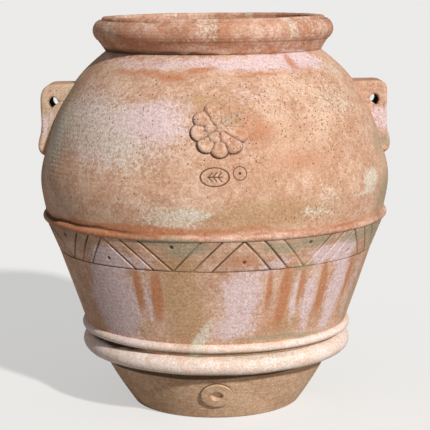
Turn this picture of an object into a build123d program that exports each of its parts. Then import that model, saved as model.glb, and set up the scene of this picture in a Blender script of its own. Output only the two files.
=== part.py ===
"""Terracotta storage jar built up in courses, with rolls, two lug handles, a flower sprig and a tap collar.

Millimetres. Z is up and is the jar's axis. The origin is the centre of the foot's underside. The front, with
the flower and the tap collar, faces -Y, and the handles stand on -X and +X.
"""
import os
from math import atan2, cos, degrees, hypot, radians, sin

from build123d import *

# ---- overall outline: radii and heights of the outside ----
jar_height = 800.0
base_radius = 173.5
foot_height = 105.0
foot_top_radius = 238.0
foot_bulge = 3.0
cone_base_height = 176.5
cone_base_radius = 272.8
band_base_height = 327.7
band_base_radius = 324.2
belt_height = 396.5
belt_radius = 352.5
belt_step = 4.5
belly_height = 480.0
belly_radius = 358.5
belly_start_lean = 0.14
rim_height = 69.0
neck_radius = 220.5
neck_end_lean = -1.25
# Shoulder curve: share of the height from belly to neck, and share of the radius left above the neck's.
shoulder_curve = [(0.25, 0.89), (0.48, 0.755), (0.68, 0.555), (0.85, 0.315)]
foot_edge_round = 9.0

# ---- walls ----
wall = 24.0
floor_thickness = 30.0
floor_bevel = 18.5
neck_wall = 20.0
neck_flare = 10.0
scarf_slope = 0.35
belly_seam_rise = 60.0

# ---- rim: reaches are outwards from the neck's radius, drops are down from the lip ----
collar_set_in = 4.5
rim_reach = 26.0
rim_widest_drop = 30.0
rim_flank_rise = 21.0
rim_flank_reach = 15.5
rim_top_drop = 6.5
rim_top_reach = 13.5
rim_groove_depth = 4.0
bead_reach = 7.5
bead_height = 14.0
bead_overhang = 2.0
bead_round = 6.0

# ---- rolls on the wall: half is half the height, proud is how far the roll stands out of the wall ----
large_roll_rise = 26.5
large_roll_proud = 28.6
large_roll_half = 20.0
large_roll_depth = 21.5
small_roll_rise = 36.5
small_roll_proud = 11.8
small_roll_half = 9.0
small_roll_depth = 10.0
ridge_lift = 1.5
ridge_half = 8.0
ridge_proud = 3.5
ridge_depth = 9.0

# ---- scored band ----
zigzags = 8
zigzag_phase = 7.2
lines_per_slope = 3
line_pitch = 6.25
score_width = 3.0
score_depth = 2.0
score_top_gap = 6.0
dimple_radius = 3.3
dimple_depth = 3.0
peak_dimple_share = 0.30
valley_dimple_share = 0.70

# ---- handles: drops are down from the neck to the strap's top, from there to the pad, and down the pad ----
handle_width = 96.0
handle_top_drop = 64.0
handle_set_in = 5.5
handle_corner = 22.0
handle_round = 6.0
strap_thickness = 18.5
eye_drop = 39.0
eye_radius = 11.0
pad_top_drop = 89.0
pad_bulge_drop = 33.0
pad_length = 59.0
pad_bulge = 6.0
pad_spread = 4.0
pad_lean = 10.0
pad_sink = 6.0
pad_round = 12.0

# ---- tap collar ----
tap_height = 60.0
tap_radius = 32.0
tap_bore_radius = 12.0
tap_relief = 5.0
tap_seat_depth = 9.0
tap_edge_round = 1.5

# ---- flower ----
flower_drop = 132.5
flower_azimuth = 1.9
petal_count = 9
petal_turn = -12.0
petal_radius = 17.5
petal_rise = 7.5
petal_circle = 36.5
heart_radius = 36.0
heart_rise = 6.0
inner_petal_count = 6
inner_petal_radius = 12.5
inner_petal_rise = 11.0
inner_petal_circle = 16.5
button_radius = 9.5
button_rise = 15.0

# ---- impressed marks ----
mark_rise = 34.0
mark_width = 56.0
mark_tall = 36.0
mark_line = 2.0
mark_depth = 1.5
mark_stem = 26.0
mark_vein = 9.0
seal_rise = 40.0
seal_azimuth = 7.7
seal_radius = 14.0
seal_dot = 3.0

parts_folder = "parts"
cutter_margin = 100.0
near_axis = 60.0


def turned(outline):
    """Solid of revolution from a closed outline drawn as radius and height."""
    return revolve(make_face(Plane.XZ * outline), Axis.Z, 360)


def moved(points, grow):
    """Each point of a rising outline moved square to the outline, outwards where grow is positive."""
    result = []
    for i, (radius, height) in enumerate(points):
        before = points[max(i - 1, 0)]
        after = points[min(i + 1, len(points) - 1)]
        run, rise = after[0] - before[0], after[1] - before[1]
        length = hypot(run, rise)
        result.append((radius + grow * rise / length, height - grow * run / length))
    return result


def between(low, high, height):
    """Radius at a height on the straight line between two outline points."""
    share = (height - low[1]) / (high[1] - low[1])
    return low[0] + share * (high[0] - low[0])


def flank_radius(height):
    """Outside radius at a height between the foot's top and the belt."""
    points = [foot_top, cone_base, band_base, belt]
    for low, high in zip(points, points[1:]):
        if height <= high[1]:
            return between(low, high, height)
    return belt_radius


def foot_curve(grow=0.0):
    """Outside of the foot, a shallow arc from the base edge to the top of the foot."""
    low, high = moved([base_edge, foot_top], grow)
    bulged = moved([low, high], foot_bulge)
    middle = ((bulged[0][0] + bulged[1][0]) / 2, (bulged[0][1] + bulged[1][1]) / 2)
    return ThreePointArc(low, middle, high)


def neck_seam(radius):
    """Height of the bevelled seam under the neck ring at a radius."""
    return neck_height + scarf_slope * (neck_radius - radius)


def shoulder_points():
    """Outside of the belly and shoulder, from belt to neck."""
    points = [(belt_radius - belt_step, belt_height), (belly_radius, belly_height)]
    for up, out in shoulder_curve:
        radius = neck_radius + out * (belly_radius - neck_radius)
        points.append((radius, belly_height + up * (neck_height - belly_height)))
    return points + [(neck_radius, neck_height)]


def shoulder_line(grow=0.0):
    """Smooth curve through the shoulder points, moved outwards by grow."""
    ends = [(belly_start_lean, 1), (neck_end_lean, 1)]
    return Spline(*moved(shoulder_points(), grow), tangents=ends)


def outside(grow=0.0):
    """The whole jar as a filled solid, with its outside moved outwards by grow."""
    foot = foot_curve(grow)
    cone = moved([cone_base, band_base], grow)[0]
    band = moved([band_base, belt], grow)
    upper = shoulder_line(grow)
    low_edge = foot @ 0
    flank = Polyline(foot @ 1, cone, *band, upper @ 0)
    cap = Polyline(upper @ 1, (0, neck_seam(0)), (0, low_edge.Y), low_edge)
    return turned(foot + flank + upper + cap)


def cavity():
    """The hollow of the jar, open at the top, with a smooth wall."""
    points = [floor_edge, foot_top, cone_base, band_base] + shoulder_points()[:-1]
    inner = moved(points, -wall)
    inner[0] = (floor_radius, floor_thickness)
    inner.append((mouth_radius, neck_height))
    above = neck_seam(0) + wall
    cap = Polyline(inner[-1], (mouth_radius, above), (0, above), (0, floor_thickness), inner[0])
    return turned(Spline(*inner) + cap)


def zone(low, high):
    """The space between two bevelled seams, each given by the outline point that it starts from."""
    corners = []
    for (radius, height), span in ((low, (near_axis, far)), (high, (far, near_axis))):
        for at in span:
            corners.append((at, height + scarf_slope * (radius - at)))
    return turned(Polyline(*corners, corners[0]))


def point_at(curve, height):
    """Radius of a rising outline at a height, and the angle of its outward normal above level."""
    low, high = 0.0, 1.0
    for _ in range(40):
        middle = (low + high) / 2
        if (curve @ middle).Y < height:
            low = middle
        else:
            high = middle
    tangent = curve % low
    return (curve @ low).X, atan2(-tangent.X, tangent.Y)


def frame_on(curve, azimuth, height, sunk=0.0):
    """Plane that faces out of the wall, azimuth degrees round from the front and sunk below the surface."""
    radius, lean = point_at(curve, height)
    turn = radians(azimuth)
    outward = Vector(sin(turn) * cos(lean), -cos(turn) * cos(lean), sin(lean))
    place = Vector(radius * sin(turn), -radius * cos(turn), height) - outward * sunk
    return Plane(origin=place, x_dir=(cos(turn), sin(turn), 0), z_dir=outward)


def neck():
    """The collar that stands on the shoulder and carries the rim."""
    foot = [(radius, neck_seam(radius)) for radius in (mouth_radius, collar_radius)]
    top = [(collar_radius, collar_top), (mouth_radius + neck_flare, collar_top)]
    return turned(Polyline(*foot, *top, foot[0]))


def roll(height, proud, half, depth):
    """A roll of clay laid round the wall, oval in section."""
    centre = Pos(flank_radius(height) + proud - depth, height)
    return revolve(Plane.XZ * centre * Ellipse(depth, half), Axis.Z, 360) - jar_solid


def rim():
    """The thick rolled rim round the collar, with the step that the lip bead sits in."""
    flank_top = (neck_radius + rim_flank_reach, neck_height + rim_flank_rise)
    roll_widest = (neck_radius + rim_reach, jar_height - rim_widest_drop)
    roll_top = (neck_radius + rim_top_reach, jar_height - rim_top_drop)
    inside = Polyline(
        roll_top,
        (bead_radius, jar_height - rim_top_drop - rim_groove_depth),
        (bead_radius, collar_top),
        (collar_radius, collar_top),
        (collar_radius, neck_seam(collar_radius)),
        (neck_radius, neck_height),
        flank_top,
    )
    return turned(ThreePointArc(flank_top, roll_widest, roll_top) + inside)


def lip():
    """The bead on top of the collar and the rim."""
    inner = mouth_radius + neck_flare - bead_overhang
    width = bead_radius - inner
    section = Pos(inner + width / 2, collar_top + bead_height / 2) * Rectangle(width, bead_height)
    section = fillet(section.vertices().group_by(Axis.Y)[-1], bead_round)
    return revolve(Plane.XZ * section, Axis.Z, 360)


def score(azimuth_top, azimuth_low):
    """Blade that cuts one scored line down the band, from one azimuth to another."""
    ends = []
    for azimuth, height in ((azimuth_top, score_top), (azimuth_low, band_base_height)):
        turn = radians(azimuth)
        radius = between(band_base, belt, height)
        ends.append(Vector(radius * sin(turn), -radius * cos(turn), height))
    along = ends[1] - ends[0]
    middle = (ends[0] + ends[1]) / 2
    outward = Vector(middle.X, middle.Y, 0)
    blade = Plane(origin=middle, x_dir=along, z_dir=along.cross(outward))
    return blade * Box(along.length, wall, score_width)


def dimple(azimuth, height):
    """Round finger mark in the band, cut by a ball."""
    ball = (dimple_radius**2 + dimple_depth**2) / (2 * dimple_depth)
    turn = radians(azimuth)
    radius = between(band_base, belt, height) + ball - dimple_depth
    return Pos(radius * sin(turn), -radius * cos(turn), height) * Sphere(ball)


def band_cutters():
    """Everything cut into the band: the zigzags, the line below them and the finger dimples."""
    blades = []
    dimples = []
    period = 360 / zigzags
    sweep = period / 2 - (lines_per_slope - 1) * line_pitch
    for i in range(zigzags):
        peak = zigzag_phase + i * period
        for k in range(lines_per_slope):
            start = k * line_pitch
            blades.append(score(peak + start, peak + start + sweep))
            blades.append(score(peak - start, peak - start - sweep))
        for azimuth, share in ((peak, peak_dimple_share), (peak + period / 2, valley_dimple_share)):
            dimples.append(dimple(azimuth, band_base_height + share * (score_top - band_base_height)))
    skin = outside() - outside(-score_depth)
    base_line = Pos(0, 0, band_base_height + score_width / 2) * Cylinder(far, score_width)
    return [skin & blade for blade in blades] + [skin & base_line] + dimples


def marks():
    """Cutters for the two impressed marks: an oval with a sprig in it, and a ring with a dot."""
    drawing = Ellipse(mark_width / 2, mark_tall / 2)
    drawing -= Ellipse(mark_width / 2 - mark_line, mark_tall / 2 - mark_line)
    drawing += Rectangle(mark_stem, mark_line)
    for side in (-1, 1):
        for place in (-1, 0, 1):
            centre = Pos(place * mark_stem / 3, side * mark_vein / 3)
            drawing += centre * Rot(0, 0, side * 45) * Rectangle(mark_vein, mark_line)
    ring = Circle(seal_radius) - Circle(seal_radius - mark_line) + Circle(seal_dot)
    stamp = extrude(frame_on(shoulder, 0, belly_height + mark_rise) * drawing, mark_reach, both=True)
    seal = extrude(frame_on(shoulder, seal_azimuth, belly_height + seal_rise) * ring, mark_reach, both=True)
    skin = outside() - outside(-mark_depth)
    return [skin & stamp, skin & seal]


def cap(azimuth, height, radius, rise):
    """A low round cap of clay on the wall, as a ball sunk in it."""
    ball = (radius**2 + rise**2) / (2 * rise)
    return frame_on(shoulder, azimuth, height, ball - rise) * Sphere(ball)


def caps_in_ring(count, circle, radius, rise):
    """Caps spaced evenly on a circle round the flower's centre, each following the wall."""
    wall_radius, lean = point_at(shoulder, flower_height)
    caps = []
    for i in range(count):
        angle = radians(petal_turn + i * 360 / count)
        azimuth = flower_azimuth + degrees(circle * cos(angle) / wall_radius)
        caps.append(cap(azimuth, flower_height + circle * sin(angle) * cos(lean), radius, rise))
    return caps


def flower():
    """The sprig: a scalloped ring of petals with a heart, a ring of inner petals and a button."""
    outer = cap(flower_azimuth, flower_height, heart_radius, heart_rise)
    outer += caps_in_ring(petal_count, petal_circle, petal_radius, petal_rise)
    outer -= jar_solid
    inner_caps = caps_in_ring(inner_petal_count, inner_petal_circle, inner_petal_radius, inner_petal_rise)
    inner = inner_caps[0] + inner_caps[1:] - outer - jar_solid
    button = cap(flower_azimuth, flower_height, button_radius, button_rise) - inner - outer - jar_solid
    return outer, inner, button


def handle_and_pad():
    """The right handle, a wide strap bent down from the shoulder, and the pad under its lower end."""
    joint_low = (handle_reach, pad_top_height)
    joint_high = (neck_radius, pad_top_height + pad_lean)
    strap = Polygon(
        joint_high, (neck_radius, handle_top_height), (handle_reach, handle_top_height), joint_low, align=None
    )
    strap = fillet(strap.vertices().sort_by(Axis.X)[-2:].sort_by(Axis.Y)[-1], handle_corner)
    handle = extrude(Plane.XZ * strap, handle_width / 2, both=True)
    handle = fillet(handle.faces().filter_by(Axis.Y).edges(), handle_round)
    eye_height = handle_top_height - eye_drop
    eye_centre = handle_reach - strap_thickness - eye_radius
    eye = Pos(eye_centre, eye_height) * Circle(eye_radius)
    eye += Pos(eye_centre - wall, eye_height) * Rectangle(2 * wall, 2 * eye_radius)
    handle -= extrude(Plane.XZ * eye, handle_width, both=True)

    pad_low_height = pad_top_height - pad_length
    pad_end = (point_at(shoulder, pad_low_height)[0] - pad_sink, pad_low_height)
    bulge = (handle_reach + pad_bulge, pad_top_height - pad_bulge_drop)
    outer = ThreePointArc(joint_low, bulge, pad_end)
    inner = Polyline(pad_end, (neck_radius, pad_low_height), joint_high, joint_low)
    pad_width = handle_width + 2 * pad_spread
    pad = extrude(Plane.XZ * make_face(outer + inner), pad_width / 2, both=True)
    ends = Pos(0, pad_low_height + pad_length) * RectangleRounded(pad_width, 2 * pad_length, pad_round)
    pad &= extrude(Plane.YZ * ends, far)
    return handle - jar_solid, pad - jar_solid


def tap_collar():
    """The round collar round the tap recess, and the socket in the foot that it is let into."""
    place = frame_on(foot_curve(), 0, tap_height, tap_seat_depth)
    up = (Align.CENTER, Align.CENTER, Align.MIN)
    socket = place * Cylinder(tap_radius, far / 4, align=up)
    bore = place * Cylinder(tap_bore_radius, far / 4, align=up)
    collar = (outside(tap_relief) & socket) - bore
    rim_edges = collar.faces().sort_by(Axis.Y)[0].outer_wire().edges()
    return fillet(rim_edges, tap_edge_round), socket


base_edge = (base_radius, 0.0)
foot_top = (foot_top_radius, foot_height)
cone_base = (cone_base_radius, cone_base_height)
band_base = (band_base_radius, band_base_height)
belt = (belt_radius, belt_height)
floor_edge = (between(base_edge, foot_top, floor_thickness), floor_thickness)
floor_radius = moved([floor_edge, foot_top], -wall)[0][0]
large_roll_height = foot_height + large_roll_rise
neck_height = jar_height - rim_height
collar_top = jar_height - bead_height
collar_radius = neck_radius - collar_set_in
bead_radius = neck_radius + bead_reach
mouth_radius = collar_radius - neck_wall
score_top = belt_height - score_top_gap
flower_height = neck_height - flower_drop
handle_top_height = neck_height - handle_top_drop
pad_top_height = handle_top_height - pad_top_drop
handle_reach = belly_radius - handle_set_in
far = belly_radius + cutter_margin
mark_reach = mark_width / 4
shoulder = shoulder_line()

jar_solid = outside()
shell = jar_solid - cavity()

belly_seam_height = belly_height + belly_seam_rise
seams = [
    (base_radius, -far / 2),
    (flank_radius(large_roll_height), large_roll_height),
    band_base,
    belt,
    (point_at(shoulder, belly_seam_height)[0], belly_seam_height),
    (neck_radius, jar_height),
]
courses = [shell & zone(low, high) for low, high in zip(seams, seams[1:])]
foot_wall, lower_wall, incised_band, belly_wall, shoulder_wall = courses

up = (Align.CENTER, Align.CENTER, Align.MIN)
floor_disc = Cone(floor_radius - floor_bevel, floor_radius, floor_thickness, align=up)
foot_wall -= floor_disc
foot_edge = foot_wall.edges().filter_by(GeomType.CIRCLE).group_by(Axis.Z)[0].sort_by(SortBy.RADIUS)[-1]
foot_wall = fillet(foot_edge, foot_edge_round)
tap_boss, tap_socket = tap_collar()
foot_wall -= tap_socket
incised_band -= band_cutters()
belly_wall -= marks()
outer_petals, inner_petals, button = flower()
right_handle, right_pad = handle_and_pad()

pieces = {
    "floor_disc": floor_disc,
    "foot_wall": foot_wall,
    "tap_boss": tap_boss,
    "base_roll_large": roll(large_roll_height, large_roll_proud, large_roll_half, large_roll_depth),
    "base_roll_small": roll(
        large_roll_height + small_roll_rise, small_roll_proud, small_roll_half, small_roll_depth
    ),
    "lower_wall": lower_wall,
    "incised_band": incised_band,
    "belt_ridge": roll(belt_height + ridge_lift, ridge_proud, ridge_half, ridge_depth),
    "belly_wall": belly_wall,
    "shoulder_wall": shoulder_wall,
    "neck_ring": neck(),
    "rim_roll": rim(),
    "lip_bead": lip(),
    "right_handle": right_handle,
    "right_handle_pad": right_pad,
    "left_handle": mirror(right_handle, Plane.YZ),
    "left_handle_pad": mirror(right_pad, Plane.YZ),
    "rosette_outer_petals": outer_petals,
    "rosette_inner_petals": inner_petals,
    "rosette_button": button,
}

os.makedirs(parts_folder, exist_ok=True)
for name, piece in pieces.items():
    print(name, len(piece.solids()), round(piece.volume), piece.is_valid)
    export_step(piece, os.path.join(parts_folder, name + ".step"))
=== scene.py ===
import math

import bpy
import numpy as np
from mathutils import Matrix, Vector


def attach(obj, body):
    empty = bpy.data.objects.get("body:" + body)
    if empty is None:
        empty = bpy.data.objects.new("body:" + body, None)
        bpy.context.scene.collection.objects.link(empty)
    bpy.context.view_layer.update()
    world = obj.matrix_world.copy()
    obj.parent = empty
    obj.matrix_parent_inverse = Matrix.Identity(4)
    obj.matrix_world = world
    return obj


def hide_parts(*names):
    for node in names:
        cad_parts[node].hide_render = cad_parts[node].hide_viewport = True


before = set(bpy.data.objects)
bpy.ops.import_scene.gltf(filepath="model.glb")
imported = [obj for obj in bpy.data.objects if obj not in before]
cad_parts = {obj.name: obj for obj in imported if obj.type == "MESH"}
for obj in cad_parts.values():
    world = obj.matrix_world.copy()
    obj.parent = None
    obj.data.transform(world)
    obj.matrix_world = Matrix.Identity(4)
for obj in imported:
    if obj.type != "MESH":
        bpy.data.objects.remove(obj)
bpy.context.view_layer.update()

bl_info = {
    "name": "Weathered Terracotta Jar",
    "version": (1, 0, 0),
    "blender": (4, 5, 0),
    "location": "View3D > Sidebar > Clay Jar",
    "description": "Builds a hand-made storage jar in weathered terracotta round its packed frame",
    "category": "Add Mesh",
}

MM = 0.001

# Heights of the seams between the courses, in millimetres like every other size below.
FOOT_SEAM, BAND_SEAM, BELT_HEIGHT, BELLY_SEAM, NECK_HEIGHT = 131.5, 327.7, 396.5, 540.0, 731.0
TOP_HEIGHT = 800.0
WALL_THICKNESS, FLOOR_THICKNESS = 24.0, 30.0

# Outline of the hand-built body: heights and outside radii up to the belt, then of the shoulder above it.
FLANK_HEIGHTS = (0.0, 105.0, 176.5, BAND_SEAM, BELT_HEIGHT)
FLANK_RADII = (173.5, 238.0, 272.8, 324.2, 352.5)
SHOULDER_HEIGHTS = (BELT_HEIGHT, 480.0, 542.75, 600.48, 650.68, 693.35, NECK_HEIGHT)
SHOULDER_RADII = (348.0, 358.5, 343.32, 324.69, 297.09, 263.97, 220.5)
SHOULDER_SLOPES = (0.14, -1.25)
HOLLOW_HEIGHTS = (FLOOR_THICKNESS, 117.2, 186.0, 336.6, 400.0, 480.5, 536.0, 587.0, 634.0, 675.0,
                  NECK_HEIGHT)
HOLLOW_RADII = (171.5, 217.0, 250.6, 301.6, 324.8, 334.5, 320.3, 303.6, 279.6, 247.5, 196.0)
HOLLOW_SLOPES = (0.6, -1.1)
FOOT_BULGE = 3.0
SEAM_SLOPE = 0.35

# Radius of the wall where something is set out on it, and the length of one degree round the belly.
BAND_RADIUS, MARKS_RADIUS, FLOWER_RADIUS, TAP_WALL_RADIUS = 338.0, 354.0, 325.0, 211.0
DEGREE_LENGTH = 6.1

FLOWER_AZIMUTH, FLOWER_HEIGHT = 1.9, 598.5
# Petals in a layer, angle of the first, radius of the circle they are set on and radius of each.
OUTER_PETALS = (9, -12.0, 37.4, 17.8)
INNER_PETALS = (6, -6.0, 17.0, 12.8)
# Direction that the flower is worn on, in degrees from its right-hand side.
WORN_SIDE = 48.0
TAP_AZIMUTH, TAP_HEIGHT = 0.0, 60.0
OVAL_AZIMUTH, OVAL_HEIGHT = 0.0, 514.0
SEAL_AZIMUTH, SEAL_HEIGHT = 7.7, 520.0

# Azimuths of the zigzag's turning points, each peak and the valley to its right, unequal as scored by hand.
ZIGZAG = ((-84.0, -59.5), (-38.5, -14.3), (9.0, 31.4), (51.0, 73.0), (96.0, 119.0),
          (141.5, 163.0), (186.0, 209.0), (231.0, 253.5))
SCORE_TOP, SCORE_LOW = 391.0, 328.5

# Stains: azimuth, height, half width in degrees, half height in mm, strength and, for a run of water that
# isn't upright, lean in degrees per mm.
STAINS = {
    "bloom": (
        (-5, 717, 62, 15, 0.66), (30, 710, 26, 18, 0.45), (50, 712, 9, 16, 0.5), (-43, 255, 13, 85, 1.0),
        (10, 280, 9, 60, 0.85, 0.04), (7, 205, 12, 26, 0.6), (30, 262, 1.6, 55, 0.8),
        (36.8, 255, 3.4, 75, 0.8), (50, 258, 6, 85, 1.0), (66, 262, 6, 80, 0.5), (-40, 345, 7, 22, 1.0),
        (-27, 345, 9, 20, 0.55), (21, 342, 5, 15, 0.6), (50, 350, 6, 24, 1.0), (40, 352, 6, 22, 0.75),
        (-36, 575, 22, 70, 0.6), (-20, 620, 14, 40, 0.55), (-55, 640, 14, 50, 0.4), (90, 600, 9, 26, 0.5),
        (8, 575, 12, 30, 0.3), (-25.3, 262, 1.1, 60, 0.6), (15, 655, 16, 25, 0.35),
    ),
    "rust": (
        (-30, 700, 20, 8, 0.7), (-6, 706, 7, 5, 0.9), (18, 694, 15, 4, 0.7), (-28, 716, 9, 5, 0.5),
        (12, 705, 4, 4, 0.5), (-18, 688, 8, 5, 0.6), (38, 714, 2.6, 16, 0.8), (46, 702, 5, 14, 0.5),
        (24, 582, 18, 40, 0.4), (28, 530, 14, 22, 0.45), (12, 610, 6, 30, 0.4), (-28, 411, 62, 9, 0.8),
        (-28.5, 285, 1.5, 48, 1.0, 0.012), (-21.5, 278, 2.3, 58, 1.0, 0.012), (19.2, 290, 1.3, 42, 0.8),
        (25.4, 278, 2.6, 55, 1.0), (31.9, 288, 1.3, 44, 0.8), (42.2, 280, 2.1, 60, 1.0, -0.015),
        (57.8, 285, 1.7, 50, 0.9, -0.01), (-52, 300, 2, 30, 0.6), (8.5, 346, 6, 16, 0.6),
        (22, 215, 7, 30, 0.45), (-45, 398, 26, 9, 1.0), (60, 410, 20, 10, 0.4), (25, 470, 12, 20, 0.3),
        (-35, 470, 12, 30, 0.3), (90, 655, 7, 20, 0.6), (55, 600, 6, 30, 0.4), (72, 520, 5, 25, 0.4),
    ),
    "buff": (
        (-13, 255, 9.5, 85, 0.9), (-12, 350, 10, 24, 0.5), (27, 205, 13, 45, 0.6), (62, 235, 3, 80, 0.5),
        (-22, 515, 26, 30, 0.4), (10, 440, 22, 32, 0.75), (34, 432, 18, 26, 0.4), (2, 640, 26, 28, 0.4),
        (-40, 430, 20, 14, 0.5), (-66, 520, 12, 80, 0.4), (16, 500, 8, 24, 0.35), (-4, 660, 10, 14, 0.4),
    ),
    "lime": (
        (-13, 440, 11, 20, 0.66), (-5, 448, 7, 8, 0.6), (59, 482, 6, 26, 0.9), (52, 455, 6, 10, 0.5),
        (-5.5, 195, 2.4, 34, 1.0, 0.09), (-8.5, 165, 2.6, 24, 0.9, 0.05), (-50, 600, 24, 75, 0.55),
        (-28, 545, 14, 40, 0.35), (33, 440, 7, 12, 0.6), (50, 640, 13, 28, 0.45), (60, 700, 12, 16, 0.5),
        (-2, 120, 1.6, 12, 0.7), (-72, 560, 10, 90, 0.5), (38, 470, 4, 20, 0.4), (0, 60, 2.4, 9, 0.9),
        (-25, 470, 10, 12, 0.35),
    ),
    "lichen": (
        (-15, 388, 12, 9, 1.0), (-6, 374, 7, 13, 0.9), (-13, 368, 5, 12, 0.6), (32, 386, 9, 10, 1.0),
        (17, 374, 5, 13, 0.8), (24, 372, 4, 12, 0.6), (58, 381, 15, 12, 0.9), (70, 365, 8, 30, 0.8),
        (28, 186, 26, 7, 0.8), (8, 155, 60, 4, 0.7), (20, 146, 26, 5, 0.5), (5.5, 618, 5, 15, 0.5),
        (-76, 620, 9, 80, 0.6), (75, 550, 6, 50, 0.6), (72, 450, 9, 40, 0.8), (-52, 380, 12, 14, 0.5),
        (70, 240, 5, 60, 0.5), (-22, 330, 9, 4, 0.5), (31, 330, 5, 5, 0.9), (19, 330, 4, 3, 0.6),
        (86, 543, 6, 16, 0.8),
    ),
    # Grime and painted shade. Painted shade: the gap between the rolls on the left (-52, 154) and the crease
    # under the rim (0, 731). Dirt and painted shade on the shaded left side: azimuths -50, -62 and -78.
    # Darker in the crease above the ridge: (0, 405). Dirt beside the flower: (5.5, 620).
    "grime_and_shade": (
        (0, 405, 200, 3, 0.4), (-50, 408, 26, 4, 0.5), (-52, 154, 22, 5, 1.0), (-62, 380, 16, 22, 0.45),
        (-78, 480, 8, 120, 0.4), (0, 731, 200, 3, 0.4), (-62, 250, 8, 90, 0.35), (5.5, 620, 5, 14, 0.35),
    ),
    "pits": (
        (44, 645, 17, 42, 1.2), (30, 655, 14, 30, 0.7), (0, 600, 200, 110, 0.26), (8, 620, 7, 22, 0.9),
        (-60, 610, 18, 70, 0.6), (20, 585, 25, 50, 0.5), (30, 430, 12, 12, 0.5), (-10, 660, 24, 14, 0.4),
    ),
}


# ---------------------------------------------------------------- colours and settings

def linear(hex_colour):
    """Linear colour with full alpha from an sRGB hex value."""
    shares = [int(hex_colour[i:i + 2], 16) / 255 for i in (1, 3, 5)]
    return tuple(s / 12.92 if s <= 0.04045 else ((s + 0.055) / 1.055) ** 2.4 for s in shares) + (1.0,)


def colour_setting(name, description, hex_colour):
    """Colour property shown as a swatch."""
    return bpy.props.FloatVectorProperty(
        name=name, description=description, subtype="COLOR", size=4, min=0, max=1, default=linear(hex_colour))


def length_setting(name, description, millimetres):
    """Length property in metres, given in millimetres."""
    return bpy.props.FloatProperty(
        name=name, description=description, subtype="DISTANCE", unit="LENGTH", min=0,
        default=millimetres * MM)


class JarSizes(bpy.types.PropertyGroup):
    """Sizes that a user would change."""
    unevenness: length_setting("Unevenness", "How far the hand-built wall wanders from true", 0.8)
    score_width: length_setting("Score width", "Width of the scored zigzag lines", 4.0)
    score_depth: length_setting("Score depth", "Depth of the scored zigzag lines", 2.8)
    dimple_radius: length_setting("Dimple radius", "Radius of the finger dimples in the band", 4.2)
    dimple_depth: length_setting("Dimple depth", "Depth of the finger dimples in the band", 3.2)
    stamp_depth: length_setting("Stamp depth", "Depth of the two impressed marks", 1.6)
    handle_width: length_setting("Handle width", "Width of each strap handle", 96.0)
    pad_width: length_setting("Pad width", "Width of the pad under each handle", 104.0)
    petal_rise: length_setting("Petal rise", "How far the outer petals stand out of the wall", 7.5)
    inner_petal_rise: length_setting("Inner petal rise", "How far the inner petals stand out", 11.0)
    button_rise: length_setting("Button rise", "How far the flower's button stands out", 15.0)
    tap_radius: length_setting("Tap collar radius", "Outer radius of the tap collar", 32.0)
    tap_relief: length_setting("Tap collar relief", "How far the tap collar stands out of the foot", 5.0)
    bore_radius: length_setting("Tap recess radius", "Radius of the tap recess", 12.0)


class JarColours(bpy.types.PropertyGroup):
    """Clay, stain and studio colours that a user would change."""
    wall_light: colour_setting("Wall, light", "Pale fired clay of the wall", "#DFBBA2")
    wall_dark: colour_setting("Wall, dark", "Deeper fired clay of the wall", "#C99C80")
    rim_light: colour_setting("Rim, light", "Pale clay of the rim", "#E0BAA4")
    rim_dark: colour_setting("Rim, dark", "Deeper clay of the rim", "#C08A6E")
    foot_light: colour_setting("Foot, light", "Pale clay of the foot", "#DDBB9B")
    foot_dark: colour_setting("Foot, dark", "Deeper clay of the foot", "#C9A384")
    roll_light: colour_setting("Roll, light", "Pale clay of the two rolls", "#F3E3DA")
    roll_dark: colour_setting("Roll, dark", "Deeper clay of the two rolls", "#E8CDBB")
    bloom: colour_setting("Bloom", "Lilac-pink salt bloom", "#E6CFD1")
    rust: colour_setting("Rust", "Orange-brown iron stain", "#C37F57")
    buff: colour_setting("Buff", "Brown water stain", "#C09A72")
    lime: colour_setting("Lime", "Cream lime deposit", "#DFD5C3")
    lichen: colour_setting("Lichen", "Grey-green algae and lichen", "#A99F84")
    # Grime colour: dark dirt, and also painted shade in creases and recesses, under the rim and the rolls and
    # on the left side.
    grime_and_shade: colour_setting("Grime", "Dark dirt in creases and pits", "#4A3626")
    floor_glow: colour_setting("Floor glow", "Light that the studio floor shows from below", "#F4F3F1")
    floor_paint: colour_setting("Floor paint", "Studio floor as it is seen", "#ADADAC")
    floor_bounce: colour_setting("Floor bounce", "Studio floor as it lights the jar", "#ADAAA6")
    room: colour_setting("Room", "Pale light from all round", "#F7FAFF")
    key: colour_setting("Key light", "Light of the lamp", "#FFFDFA")


def sizes():
    """The sizes as the user has set them."""
    return bpy.context.scene.jar_sizes


def colours():
    """The colours as the user has set them."""
    return bpy.context.scene.jar_colours


def in_mm(length):
    """Millimetres from metres."""
    return length / MM


# ---------------------------------------------------------------- curves and fields

def clamped_cubic(knots, values, slopes, at):
    """Cubic spline through the knots with the two end slopes given: the slopes at the inner knots
    solve the linear system that makes the curvature continuous, then each span is a Hermite cubic."""
    knots, values, at = (np.asarray(a, float) for a in (knots, values, at))
    gap = np.diff(knots)
    rise = np.diff(values) / gap
    count = len(knots)
    system, right = np.eye(count), np.zeros(count)
    right[0], right[-1] = slopes
    inner = np.arange(1, count - 1)
    system[inner, inner - 1] = 1 / gap[:-1]
    system[inner, inner] = 2 / gap[:-1] + 2 / gap[1:]
    system[inner, inner + 1] = 1 / gap[1:]
    right[inner] = 3 * (rise[:-1] / gap[:-1] + rise[1:] / gap[1:])
    slope = np.linalg.solve(system, right)
    span = np.clip(np.searchsorted(knots, at) - 1, 0, count - 2)
    t = (at - knots[span]) / gap[span]
    low, high = values[span], values[span + 1]
    m_low, m_high = slope[span] * gap[span], slope[span + 1] * gap[span]
    return ((2 * t**3 - 3 * t**2 + 1) * low + (t**3 - 2 * t**2 + t) * m_low
            + (3 * t**2 - 2 * t**3) * high + (t**3 - t**2) * m_high)


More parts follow.
